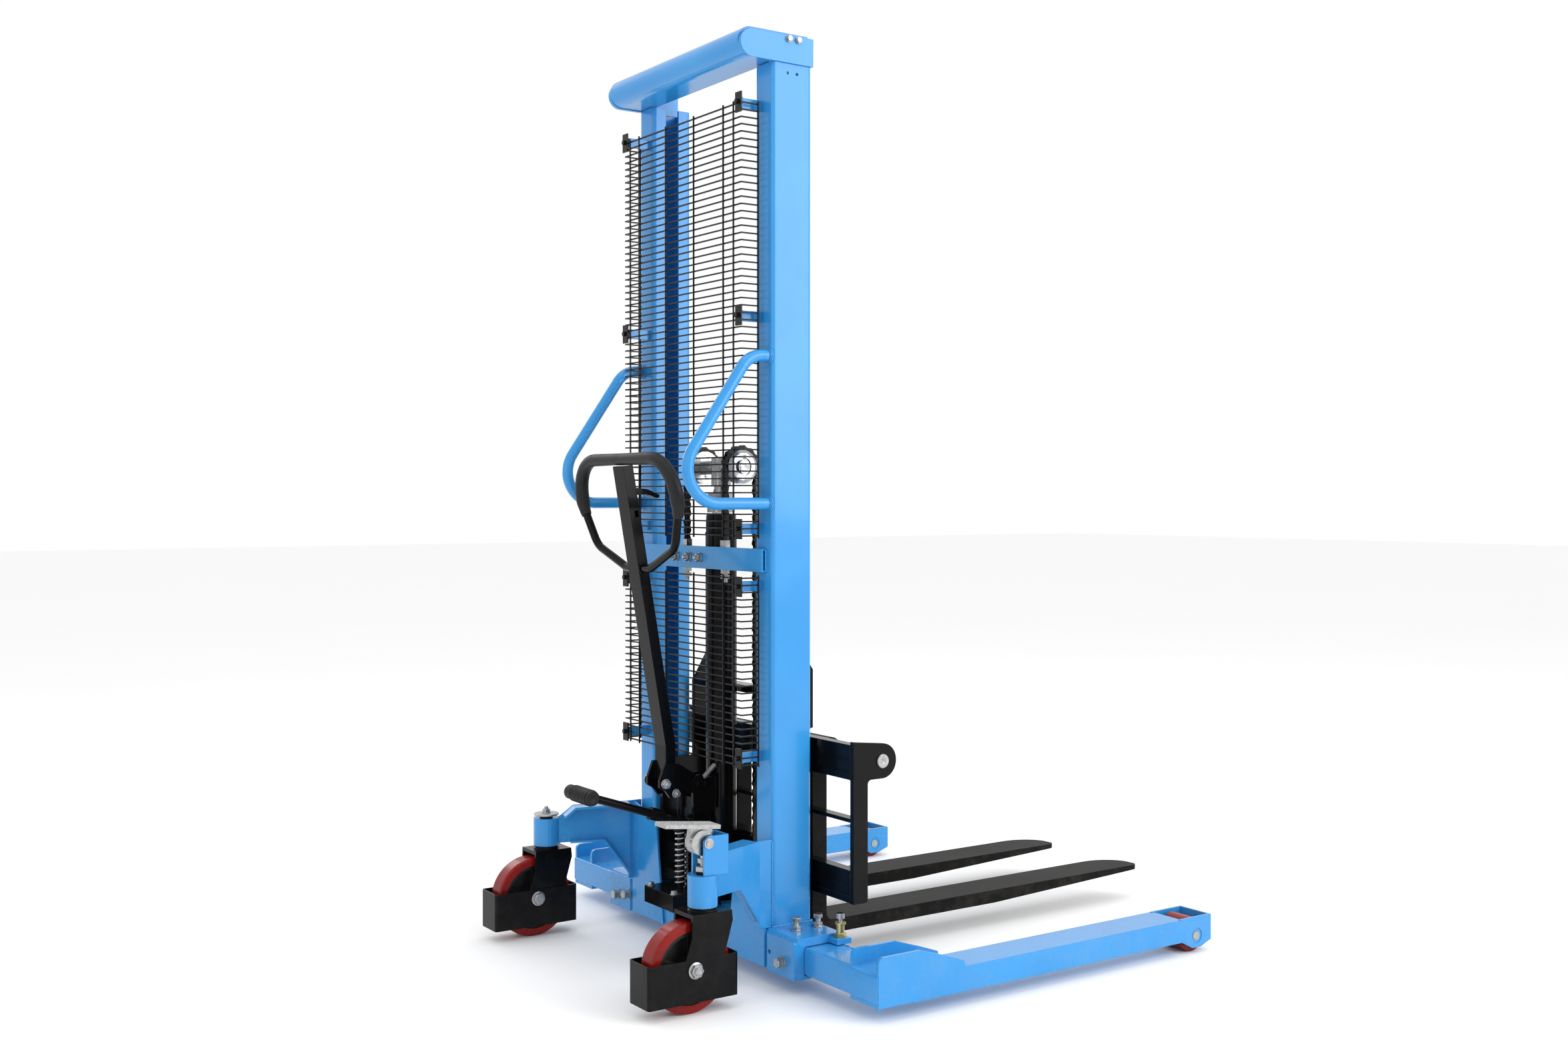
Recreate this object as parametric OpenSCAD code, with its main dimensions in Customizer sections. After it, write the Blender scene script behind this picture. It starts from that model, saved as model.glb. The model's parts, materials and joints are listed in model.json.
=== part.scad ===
// Hand and foot pumped straddle stacker: a fixed mast on a braced base, an
// adjustable fork carriage, two sliding straddle legs and two swivel casters.
// The frame here: x to the operator's right, y the way the forks point,
// z up from the floor. y is counted from the rear wheels' contact line and
// place() moves the whole machine so that its bounding box is centred on y = 0.

/* [Mast] */
// height of the two mast columns' top ends above the floor
mast_top = 1916; // [1600:2100]
// outside width of the mast, across both columns
mast_w = 560; // [500:700]
// front to back depth of one column
column_d = 100; // [80:120]
// width of one column, seen from behind
column_w = 66; // [50:90]
// sheet thickness of the columns
column_t = 5; // [4:8]
// lip left on each side of the column's slot
column_lip = 33; // [25:36]

/* [Guard] */
// distance between neighbouring horizontal guard wires
wire_pitch = 15; // [12:30]
// thickness of the guard wire
wire_t = 3; // [2:5]

/* [Base] */
// half width of the leg socket beam
beam_half = 389; // [350:420]
// height of the beam's top face above the floor
beam_top = 114; // [100:130]
// distance of each caster's swivel axis from the middle
caster_x = 347; // [300:380]
// rear wheel diameter
rear_wheel_d = 180; // [150:200]

/* [Legs] */
// distance from the middle to the inner side of each leg
leg_in = 540; // [510:650]
// outside width of one leg
leg_w = 90; // [70:110]
// height of the leg tube's top face above the floor
leg_top = 79; // [70:95]
// load wheel diameter
load_wheel_d = 76; // [70:82]

/* [Carriage and forks] */
// outside half width of the fork carriage
carriage_half = 384; // [340:400]
// distance of each fork's centre line from the middle
fork_x = 150; // [80:300]
// width of one fork blade
fork_w = 100; // [80:120]
// height of the fork blade's top face when lowered
fork_top = 83; // [75:95]
// thickness of the fork blade at its root
fork_t = 30; // [25:40]
// y of the fork tips
fork_tip = 1420; // [1200:1600]

/* [Tiller] */
// half width of the tiller loop, to the tube's centre line
loop_half = 209; // [140:220]
// radius of the loop's tube
loop_r = 9; // [8:12]
// radius of the loop's soft grip
grip_r = 13.5; // [12:16]

/* [Hidden] */
$fn = 64;

blue = [0.30, 0.70, 0.98];
black = [0.10, 0.10, 0.11];
zinc = [0.78, 0.79, 0.80];
gold = [0.82, 0.70, 0.34];
red = [0.62, 0.09, 0.07];
rubber = [0.17, 0.17, 0.17];

rear_end = -105;                       // rear edge of the caster foot guards
mid_y = (fork_tip + rear_end) / 2;
col_y = 252;                           // rear face of the columns
col_out = mast_w / 2;
col_in = col_out - column_w;
lift_y = col_y + column_d / 2;         // plane of the cylinder and the rollers
wheel_z = 1077;                        // chain wheel axle, lowered
chain_x = 80;
chain_r = 40;                          // radius of the chain's centre line
roller_r = 43.5;
roller_z = [165, 355];
leg_out = leg_in + leg_w;
leg_tube_top = 95;                     // top of the leg's cross tube
axle_y = 1150;                         // load wheel axle
shaft_y = 460;
shaft_z = 456;
king_y = 40;                           // swivel axes of the casters
pivot = [222, 383];                    // tiller pivot, y and z
foot_pivot = [236, 282];
kink = [157, 469];                     // where the tiller tube starts to lean
lean = 9.8;                            // lean of the tiller tube

// ---------- helpers ----------

module place() translate([0, -mid_y, 0]) children();

// draws a flat shape in y and z and extrudes it from x0 to x1
module slab_x(x0, x1) translate([x0, 0, 0]) rotate([90, 0, 90]) linear_extrude(x1 - x0) children();

// draws a flat shape in x and z and extrudes it from y0 to y1
module slab_y(y0, y1) translate([0, y1, 0]) rotate([90, 0, 0]) linear_extrude(y1 - y0) children();

module box(x, y, z) translate([x[0], y[0], z[0]]) cube([x[1] - x[0], y[1] - y[0], z[1] - z[0]]);

// cylinder along x
module rod_x(x0, x1, y, z, r, n = 48) translate([x0, y, z]) rotate([0, 90, 0]) cylinder(h = x1 - x0, r = r, $fn = n);

// cylinder along y
module rod_y(y0, y1, x, z, r, n = 48) translate([x, y1, z]) rotate([90, 0, 0]) cylinder(h = y1 - y0, r = r, $fn = n);

// cylinder along z
module rod_z(z0, z1, x, y, r, n = 48) translate([x, y, z0]) cylinder(h = z1 - z0, r = r, $fn = n);

module both() { children(); mirror([1, 0, 0]) children(); }

module right_or_left(side) if (side > 0) children(); else mirror([1, 0, 0]) children();

function arc(cx, cy, r, a0, a1, n = 6) = [for (i = [0 : n]) let (a = a0 + (a1 - a0) * i / n) [cx + r * cos(a), cy + r * sin(a)]];

// rounded rectangle from p to q
function rrect(p, q, r, n = 6) = concat(
    arc(q[0] - r, p[1] + r, r, -90, 0, n), arc(q[0] - r, q[1] - r, r, 0, 90, n),
    arc(p[0] + r, q[1] - r, r, 90, 180, n), arc(p[0] + r, p[1] + r, r, 180, 270, n));

function unit(v) = v / norm(v);
function turn(a, b, c) = acos(max(-1, min(1, unit(b - a) * unit(c - b))));
function tangent(a, b, c, R) = R * tan(turn(a, b, c) / 2);

// round tube along a flat polyline whose corner i has the bend radius R[i];
// a thin collar closes each joint between a straight length and a bend
module tube_path(p, R, r, bore = 0) {
    n = len(p);
    module ring(q) difference() {
        circle(r = r + q, $fn = 32);
        if (bore > 0) circle(r = bore - q / 2, $fn = 32);
    }
    module run(a, u, h, q) translate([a[0], a[1], 0]) rotate([0, 0, atan2(u[1], u[0])]) rotate([0, 90, 0])
        linear_extrude(h) ring(q);
    for (i = [0 : n - 2]) {
        s = i == 0 ? 0 : tangent(p[i - 1], p[i], p[i + 1], R[i]);
        e = i == n - 2 ? 0 : tangent(p[i], p[i + 1], p[i + 2], R[i + 1]);
        u = unit(p[i + 1] - p[i]);
        len = norm(p[i + 1] - p[i]);
        g0 = i == 0 ? 0 : 0.3;
        g1 = i == n - 2 ? 0 : 0.3;
        run(p[i] + u * (s + g0), u, len - s - e - g0 - g1, 0);
        if (i > 0) run(p[i] + u * (s - 1.2), u, 2.4, 0.12);
        if (i < n - 2) run(p[i] + u * (len - e - 1.2), u, 2.4, 0.12);
    }
    for (i = [1 : n - 2]) {
        u = unit(p[i] - p[i - 1]);
        w = unit(p[i + 1] - p[i]);
        t = turn(p[i - 1], p[i], p[i + 1]);
        side = sign(u[0] * w[1] - u[1] * w[0]);
        nrm = side * [-u[1], u[0]];
        c = p[i] - u * tangent(p[i - 1], p[i], p[i + 1], R[i]) + nrm * R[i];
        a0 = atan2(-nrm[1], -nrm[0]);
        g = 0.3 / R[i] * 180 / PI;
        translate([c[0], c[1], 0]) rotate([0, 0, (side > 0 ? a0 : a0 - t) + g])
            rotate_extrude(angle = t - 2 * g, $fn = 96) translate([R[i], 0]) ring(0);
    }
}

// coil spring along z
module coil(r, wire, h, turns, sides = 8, steps = 16) {
    n = turns * steps;
    function at(i, k) = let (a = 360 * i / steps, b = 360 * k / sides, q = r + wire * cos(b))
        [q * cos(a), q * sin(a), wire + (h - 2 * wire) * i / n + wire * sin(b)];
    polyhedron(
        points = [for (i = [0 : n]) for (k = [0 : sides - 1]) at(i, k)],
        faces = concat(
            [[for (k = [sides - 1 : -1 : 0]) k]],
            [for (i = [0 : n - 1]) for (k = [0 : sides - 1])
                [i * sides + (k + 1) % sides, (i + 1) * sides + (k + 1) % sides, (i + 1) * sides + k, i * sides + k]],
            [[for (k = [0 : sides - 1]) n * sides + k]]),
        convexity = 10);
}

// ---------- fixed frame ----------

module column(side) color(blue) right_or_left(side) {
    difference() {
        translate([0, 0, beam_top]) linear_extrude(mast_top - beam_top) difference() {
            polygon(rrect([col_in, col_y], [col_out, col_y + column_d], 9));
            polygon(rrect([col_in + column_t, col_y + column_t],
                [col_out - column_t, col_y + column_d - column_t], 4));
            translate([col_in - 1, col_y + column_lip]) square([column_t + 2, column_d - 2 * column_lip]);
        }
        for (y = [290, 314]) rod_x(col_out - 8, col_out + 1, y, mast_top - 20, 3.2, 24);
    }
    // stand-off brackets that carry the guard
    for (z = [1830, 1388, 944, 824, 466]) {
        box([232, 244.5], [198.5, 202.5], [z - 11, z + 11]);
        box([232, 236.5], [202.4, col_y + 0.2], [z - 11, z + 11]);
    }
}

module crosshead() color(blue) {
    // end plates on top of the columns
    both() slab_x(col_out - 6, col_out + 4) polygon(concat(
        [[col_y + column_d + 1, mast_top], [col_y + column_d + 1, mast_top + 58]],
        arc(200, mast_top + 29, 29, 90, 270, 16)));
    // rolled cover between them, open to the front
    slab_x(-col_out + 6, col_out - 6) difference() {
        polygon(concat([[345, mast_top + 2], [345, mast_top + 64]], arc(201, mast_top + 33, 31, 90, 270, 16)));
        polygon(concat([[346, mast_top + 6], [346, mast_top + 60]], arc(201, mast_top + 33, 27, 90, 270, 16)));
        translate([262, mast_top]) square([90, 20]);
    }
}

module hex_z(z0, z1, x, y, af) rod_z(z0, z1, x, y, af / sqrt(3), 6);
module hex_y(y0, y1, x, z, af) rod_y(y0, y1, x, z, af / sqrt(3), 6);
module hex_x(x0, x1, y, z, af) rod_x(x0, x1, y, z, af / sqrt(3), 6);

module frame_screws() color(zinc) {
    // crosshead screws, heads outside
    both() for (y = [290, 314]) {
        hex_x(col_out + 4, col_out + 9, y, mast_top + 50, 12);
    }
    // cross bar bolts with nuts
    for (x = [-90, -36, 10]) {
        hex_y(232, 239.7, x, 877, 17);
        rod_y(226, 257, x, 877, 5, 24);
        rod_y(239.7, 240, x, 877, 11, 24);
    }
    // tiller clamp bolt ends and pump foot bolts
    for (x = [-50, 50]) for (y = [150]) hex_z(150, 157, x, y, 13);
}

module mid_crossbar() color(blue) difference() {
    union() {
        box([-256, 256], [240, 245], [853, 902]);
        box([-256, 256], [240, col_y], [853, 857]);
        box([-256, 256], [240, col_y], [898, 902]);
        // ears that carry the chain anchors
        both() box([chain_x - 14, chain_x + 14], [col_y - 0.1, 274], [853, 859]);
    }
    for (x = [-90, -36, 10]) rod_y(239, 246, x, 877, 5.2, 24);
    both() rod_z(850, 862, chain_x, lift_y - chain_r, 5.3, 24);
}

module base_beam() color(blue) difference() {
    union() {
        slab_x(-beam_half, beam_half) polygon(rrect([236, 30], [356, beam_top], 9));
        // thick rear faces of the sockets
        both() slab_y(231, 236.2) polygon(rrect([291, 31], [beam_half, beam_top - 6], 3, 2));
        // lug for the index plunger
        both() box([beam_half - 0.5, 418], [318, 354], [97, 108]);
    }
    slab_x(-beam_half - 30, beam_half + 30) polygon(rrect([256, 36], [346, 96.6], 6));
    both() for (y = [279, 334]) rod_z(90, 115, 328, y, 6.2, 32);
    both() rod_y(230, 257, 348, 61, 6.2, 32);
    both() rod_y(230, 257, 299, 71, 4.9, 32);
    both() rod_z(90, 112, 404, 336, 8.2, 32);
}

// slanted rear arm; its web runs from the mast's rear corner out to the caster
arm_from = [col_out, 220];
arm_to = [330, 62];
arm_run = norm(arm_to - arm_from);
arm_turn = atan2(arm_to[1] - arm_from[1], arm_to[0] - arm_from[0]);
module arm(side) color(blue) right_or_left(side) {
    difference() {
        union() {
            translate([arm_from[0], arm_from[1], 0]) rotate([0, 0, arm_turn]) {
                // pressed side sheet
                rotate([90, 0, 0]) linear_extrude(6) polygon(
                    [[-4, 122], [-4, 297], [132, 294], [arm_run, 268], [arm_run, 208], [62, 208]]);
                // turned-in top edge
                translate([0, -5.9, 0]) rotate([90, 0, 0]) linear_extrude(36) polygon(
                    [[4, 291], [4, 296.5], [132, 293.5], [156, 274], [156, 267], [130, 288]]);
                // turned-in lower edge
                translate([0, -5.9, 0]) rotate([90, 0, 0]) linear_extrude(16) polygon(
                    [[4, 130], [62, 208], [140, 208], [140, 213], [59, 213], [4, 138]]);
            }
            // swivel bearing tube
            rod_z(203, 266, caster_x, king_y, 30, 64);
            // folded edge up to the column
            box([col_out - 6, col_out], [218, 251.8], [beam_top + 0.3, 297]);
        }
        rod_z(202, 267, caster_x, king_y, 15.06, 48);
        // room for the brake bracket on the operator's right
        if (side > 0) box([322.7, 372], [28, 85.3], [266.1, 300]);
    }
    // rear sheet that ties the arm to the base
    slab_y(231, 235.8) polygon([[col_out - 0.1, 34], [col_out - 0.1, 296], [230, 284], [170, 262], [137, 34]]);
}

handle_x = 266;
module handles() color(blue) both() translate([handle_x, 0, 0]) rotate([90, 0, 90]) {
    tube_path([[col_y, 1305], [203, 1305], [-9, 997], [col_y, 997]], [0, 60, 71, 0], 12.5);
    for (z = [1305, 997]) translate([col_y - 5, z, 0]) rotate([0, 90, 0]) cylinder(h = 5, r = 15, $fn = 32);
}

module wire_panel(z0, z1) {
    n = floor((z1 - z0) / wire_pitch);
    t = wire_t;
    for (i = [0 : n]) {
        z = z0 + i * wire_pitch;
        box([-248.5, 248.5], [194.7, 194.7 + t], [z, z + t]);
        both() box([248.5 - t, 248.5], [194.7 + t - 0.1, 238], [z, z + t]);
    }
    for (x = [-222, -181, -61, 59, 179, 219]) box([x, x + t], [194.7 - t + 0.4, 195], [z0 - 4, z0 + n * wire_pitch + t + 4]);
    both() box([248.4, 248.4 + t], [235, 238], [z0 - 4, z0 + n * wire_pitch + t + 4]);
}
module guard_panels() color(black) {
    wire_panel(928, 1840);
    wire_panel(450, 842);
}

module guard_clamps() color(black) both() for (z = [1830, 1388, 944, 824, 466]) {
    box([231, 253], [191, 194.4], [z - 21, z + 21]);
    hex_y(185, 191.1, 241, z + 0.5, 10);
}

module cylinder_tube() color(black) difference() {
    union() {
        rod_z(beam_top + 0.2, 932, 0, lift_y, 35, 64);
        rod_z(931.9, 961, 0, lift_y, 34, 64);
        rod_z(beam_top + 0.2, 130, 0, lift_y, 36, 64);
    }
    rod_z(128, 928, 0, lift_y, 27, 64);
    rod_z(920, 962, 0, lift_y, 20.07, 64);
}

module cylinder_clamp() color(black) {
    // saddle block on the cross bar and strap round the cylinder
    difference() {
        union() {
            rod_z(865, 889, 0, lift_y, 38.5, 64);
            box([-24, 24], [257.3, 280], [865, 889]);
        }
        rod_z(864, 890, 0, lift_y, 35.1, 64);
    }
}

module chain_anchors() color(zinc) both() {
    rod_z(824, 900, chain_x, lift_y - chain_r, 5, 24);
    hex_z(843, 852.8, chain_x, lift_y - chain_r, 17);
    hex_z(832, 840, chain_x, lift_y - chain_r, 17);
    box([chain_x - 9, chain_x + 9], [lift_y - chain_r - 7, lift_y - chain_r + 7], [899, 916]);
}

module chains() color(black) both() {
    slab_x(chain_x - 7, chain_x + 7) difference() {
        union() {
            translate([lift_y, wheel_z]) circle(r = chain_r + 6);
            translate([lift_y - chain_r - 6, 916.4]) square([12, wheel_z - 916.4]);
            translate([lift_y + chain_r - 6, 262]) square([12, wheel_z - 262]);
        }
        translate([lift_y, wheel_z]) circle(r = chain_r - 5.4);
        translate([lift_y - chain_r + 6, 800]) square([2 * chain_r - 12, wheel_z - 800]);
    }
}

module chain_wheel(side) color(zinc) right_or_left(side) difference() {
    union() {
        rod_x(67, 89, lift_y, wheel_z, chain_r - 6, 64);
        rod_x(67, 72.4, lift_y, wheel_z, 37, 64);
        rod_x(87.6, 89, lift_y, wheel_z, 37, 64);
        translate([89, lift_y, wheel_z]) rotate([0, 90, 0]) cylinder(h = 4, r1 = 37, r2 = 30);
    }
    rod_x(90, 94, lift_y, wheel_z, 20, 64);
    rod_x(66, 95, lift_y, wheel_z, 12.06, 48);
}

module lift_rod() color(zinc) {
    rod_z(140, 976, 0, lift_y, 20, 64);
    rod_z(140, 165, 0, lift_y, 26.4, 64);
}

module rod_head() color(zinc) {
    rod_z(976.1, 990, 0, lift_y, 31, 64);
    rod_z(989.9, 1006, 0, lift_y, 20, 48);
    rod_z(1005.9, 1020, 0, lift_y, 30, 6);
    rod_z(1019.9, 1034, 0, lift_y, 15, 48);
    rod_z(1033.9, 1100, 0, lift_y, 22, 48);
    rod_x(-66.6, 66.6, lift_y, wheel_z, 16, 48);
    rod_x(-97, 97, lift_y, wheel_z, 12, 48);
    // end collars that keep the chain wheels on
    both() rod_x(93.4, 96, lift_y, wheel_z, 15, 32);
}

module socket_bolts() color(zinc) {
    // jack bolts with lock nuts on top of the sockets
    both() for (y = [279, 334]) {
        rod_z(96.9, 134, 328, y, 6, 24);
        hex_z(beam_top + 0.1, beam_top + 10, 328, y, 18);
        hex_z(133.9, 141, 328, y, 18);
    }
    // clamping bolts in the rear faces
    for (x = [-348, -299, 348]) {
        z = abs(x) > 300 ? 61 : 71;
        rod_y(222, 255.5, x, z, abs(x) > 300 ? 6 : 4.8, 24);
        hex_y(224, 230.9, x, z, 19);
        hex_y(214, 222.1, x, z, 19);
    }
}

module plunger_sleeves() color(gold) both() difference() {
    union() {
        hex_z(108.1, 117, 404, 336, 22);
        rod_z(98, 108.2, 404, 336, 8, 32);
        rod_z(116.9, 136, 404, 336, 8.5, 32);
        rod_z(135.9, 139, 404, 336, 11.5, 32);
    }
    rod_z(97, 140, 404, 336, 4.1, 32);
}

brake_pin = [40, 330];
module brake_bracket() color(blue) difference() {
    union() {
        for (x = [[323, 328], [366.5, 371.5]]) slab_x(x[0], x[1]) polygon(concat(
            [[29, 266.2], [85, 266.2], [85, 344]], arc(46, 327, 17, 90, 180, 6)));
        box([327.9, 366.6], [80, 85], [266.2, 344]);
    }
    // pin hole and room for the swivel pin's nut
    rod_x(322, 373, brake_pin[0], brake_pin[1], 7.05, 32);
    rod_z(266, 292, caster_x, king_y, 18.5, 32);
}

module valve_spring() color(zinc) {
    // small pull spring between the valve arm and the cylinder
    translate([47, 226, 396]) rotate([-49, 0, 0]) coil(4.4, 0.9, 40, 10, 5, 9);
}

// ---------- pump ----------

module pump_plate() color(black) difference() {
    union() {
        box([-62, 62], [140, 262], [beam_top + 0.3, 150]);
        both() slab_x(50, 62) polygon([[250, 149], [262, 149], [262, 210]]);
    }
    rod_z(120, 151, 0, 197, 8.07, 48);
}

module pump_body() color(black) {
    box([-22, 22], [218, 262], [150.2, 348]);
    rod_z(150.2, 300, 0, 238, 23, 48);
    // cheeks with the tiller's pivot pin, its heads outside
    both() slab_x(31.2, 40) polygon(concat([[206, 318], [262, 318], [262, 396]],
        arc(pivot[0], pivot[1], 19, 30, 180, 8)));
    box([-40, 40], [244, 262], [318, 348]);
    rod_x(-46, 46, pivot[0], pivot[1], 8, 48);
    both() hex_x(39.9, 45, pivot[0], pivot[1], 22);
    // foot lever's pivot pin with its collars
    rod_x(-34, 34, foot_pivot[0], foot_pivot[1], 8, 48);
    both() rod_x(30.9, 34, foot_pivot[0], foot_pivot[1], 12, 32);
    // valve block on the operator's right
    box([21.9, 44], [225, 258], [170, 232]);
    rod_x(43.9, 52, 240, 205, 8, 32);
}

module pump_piston() color(zinc) {
    rod_z(147, 369.4, 0, 197, 8, 48);
    rod_z(276, 283, 0, 197, 16.5, 48);
}

// return spring, drawn at its rest length
module pump_spring() color(zinc) translate([0, 197, 150.2]) coil(12.4, 1.8, 125.6, 9, 6, 14);

// ---------- tiller ----------

function arm_at(s) = [kink[0] - s * sin(lean), kink[1] + s * cos(lean)];

module on_arm(s) translate([0, arm_at(s)[0], arm_at(s)[1]]) rotate([lean, 0, 0]) children();

lever_z = 560;                         // release lever pivot, along the tube
// pin pressed through the tube's walls, on which the release lever rocks
module release_pin() on_arm(lever_z) rotate([0, 90, 0]) translate([0, 0, -22]) cylinder(h = 44, r = 1.44, $fn = 32);

module tiller_arm() color(black) {
    release_pin();
    difference() {
    union() {
        // upright foot of the tube
        box([-23, 23], [kink[0] - 12, kink[0] + 12], [392, kink[1] + 1]);
        // leaning part up to the loop
        on_arm(0) translate([-23, -12, -1]) cube([46, 24, 619]);
        // cheeks that carry the pivot and the pump roller
        both() slab_x(22.9, 30.6) polygon(concat(
            [[140, 432], [126, 396], [126, 380], [140, 372], [152, 356], [205, 362]], arc(pivot[0], pivot[1], 18, -60, 100, 8),
            [[172, 430]]));
        rod_x(-23, 23, 194, 383, 13, 40);
        // clamp bolt
        both() hex_x(30.5, 37, 137, 389, 18);
        both() hex_x(30.5, 36, 163, 366, 15);
    }
    rod_x(-32, 32, pivot[0], pivot[1], 8.07, 48);
    // slot for the release lever, open to the front
    on_arm(528) translate([-14, -6, 0]) cube([28, 30, 74]);
    // hollow of the tube
    on_arm(60) translate([-19.5, -8.5, 0]) cube([39, 17, 545]);
    on_arm(505) translate([-30, -1, 0]) cube([60, 9.5, 14]);
    }
}

module tiller_loop() color(black) translate([0, kink[0], kink[1]]) rotate([lean + 90, 0, 0])
    tube_path([[23, 394], [52, 394], [170, 440], [loop_half, 526], [loop_half, 632],
        [-loop_half, 632], [-loop_half, 526], [-170, 440], [-52, 394], [-23, 394]],
        [0, 40, 50, 56, 86, 86, 56, 50, 40, 0], loop_r);

module tiller_grip() color(rubber) translate([0, kink[0], kink[1]]) rotate([lean + 90, 0, 0]) both()
    tube_path([[0.15, 632], [loop_half, 632], [loop_half, 526], [loop_half - 7.8, 508.8]], [0, 86, 56, 0],
        grip_r, loop_r + 0.4);

module release_lever() color(black) on_arm(lever_z) difference() {
    union() {
        translate([-11, 0, 0]) rotate([0, 90, 0]) cylinder(h = 22, r = 5.6, $fn = 40);
        rotate([90, 0, 90]) translate([0, 0, -9]) linear_extrude(18) polygon(concat(
            [[0, 5.6], [-2, -5], [16, -9], [44, -12], [66, -24]], arc(70, -20, 4, -90, 90, 6), [[48, -2], [24, 5.6]]));
        // pull bar inside the tube
        translate([-4, -3, -27]) cube([8, 5, 26]);
    }
    rotate([0, 90, 0]) translate([0, 0, -12]) cylinder(h = 24, r = 1.5, $fn = 24);
}

// ---------- foot lever ----------

foot_a = 18.8;
module on_foot(x) translate([0, foot_pivot[0], foot_pivot[1]]) rotate([-foot_a, 0, 0]) translate([x, 0, 0]) children();

pad_at = 300;                          // distance of the pad's axis from the lever's pivot
module foot_lever() color(black) difference() {
    on_foot(0) {
        both() translate([24.2, 0, 0]) rotate([0, 90, 0]) cylinder(h = 6.4, r = 14, $fn = 48);
        both() translate([24.2, -90, -7]) cube([6.4, 90, 14]);
        translate([-30.6, -90, -7]) cube([61.2, 14, 14]);
        translate([0, -89, 0]) rotate([90, 0, 0]) cylinder(h = pad_at - 89, r = 9, $fn = 48);
        translate([0, -89, 0]) rotate([90, 0, 0]) cylinder(h = 36, r = 14, $fn = 48);
        translate([-50, -pad_at, 0]) rotate([0, 90, 0]) cylinder(h = 100, r = 10, $fn = 32);
    }
    rod_x(-31, 31, foot_pivot[0], foot_pivot[1], 8.07, 48);
}

module foot_pad() color(rubber) on_foot(0) difference() {
    union() {
        translate([-53, -pad_at, 0]) rotate([0, 90, 0]) cylinder(h = 106, r = 15.5, $fn = 64);
        for (i = [0 : 9]) translate([-27 + i * 8, -pad_at, 0]) rotate([0, 90, 0]) cylinder(h = 5, r = 18, $fn = 64);
    }
    translate([-50.2, -pad_at, 0]) rotate([0, 90, 0]) cylinder(h = 100.4, r = 10.05, $fn = 32);
    translate([0, -pad_at + 30, 0]) rotate([90, 0, 0]) cylinder(h = 30, r = 9.1, $fn = 48);
    translate([50, -pad_at, 0]) rotate([0, 90, 0]) cylinder(h = 10, r = 3, $fn = 24);
}

// ---------- carriage ----------

module carriage_frame() color(black) {
    // side plates with the shaft ears
    both() difference() {
        slab_x(carriage_half - 12, carriage_half) union() {
            polygon(concat([[385, 163]], arc(417, 168, 5, -90, 0, 4), [[422, 410]], arc(431, 410, 9, 180, 95, 4),
                arc(shaft_y, shaft_z, 37, -95, 90, 20), [[385, 501]]));
        }
        rod_x(carriage_half - 13, carriage_half + 1, shaft_y, shaft_z, 15.2, 48);
    }
    // cross bars
    for (b = [[421, 494], [164, 232]]) difference() {
        box([-carriage_half + 11.9, carriage_half - 11.9], [385, 409], b);
        box([-carriage_half + 20, carriage_half - 20], [393, 410], [b[0] + 8, b[1] - 8]);
    }
    box([-carriage_half + 11.9, carriage_half - 11.9], [385, 409], [332, 340]);
}

module carriage_posts() color(black) {
    both() {
        slab_x(192, 204) polygon([[262, beam_top + 5], [384.8, beam_top + 5], [384.8, 502], [409, 510], [409, 636], [398, 652],
            [392, 652], [349, 580], [349, 404], [262, 404]]);
        for (z = roller_z) {
            rod_x(203.9, 224.6, lift_y, z, 14, 48);
            rod_x(224.5, 266, lift_y, z, 10, 48);
        }
        // cheeks on both sides of each chain's end
        for (x = [chain_x - 15, chain_x + 7.6]) box([x, x + 7.4], [334, 349.1], [237, 261]);
    }
    box([-192.1, 192.1], [349, 384.8], [572, 588]);
    box([-192.1, 192.1], [349, 384.8], [236, 262]);
}

module fork_shaft() color(zinc) rod_x(-carriage_half - 3, carriage_half + 3, shaft_y, shaft_z, 15, 64);

module roller(side, z) color(black) right_or_left(side) difference() {
    union() {
        rod_x(227, 262, lift_y, z, roller_r, 64);
        rod_x(225.2, 264, lift_y, z, 18, 48);
    }
    rod_x(224, 267, lift_y, z, 10.06, 48);
}

module fork(x0) color(black) translate([x0, 0, 0]) difference() {
    w = fork_w / 2;
    fb = fork_top - fork_t;
    intersection() {
        slab_x(-w, w) union() {
            polygon(concat(arc(421, fb + 10, 10, 180, 270, 5),
                [[937, fb], [fork_tip, fork_top - 11], [fork_tip, fork_top]],
                arc(465, fork_top + 16, 16, 270, 180, 6), [[449, 428]], [[470, 433], [470, 470], [431, 470], [411, 440]]));
            translate([shaft_y, shaft_z]) circle(r = 28, $fn = 64);
        }
        // plan shape with the swept tip
        translate([0, 0, -10]) linear_extrude(600) polygon(concat([[-w, 300], [w, 300]],
            arc(w - 18, fork_tip - 18, 18, 0, 90, 6),
            [for (i = [1 : 10]) let (a = 90 + 9 * i) [w - 30 + (2 * w - 30) * cos(a), fork_tip - 95 + 95 * sin(a)]]));
    }
    rod_x(-w - 1, w + 1, shaft_y, shaft_z, 15.08, 64);
}

// ---------- legs ----------

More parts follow.
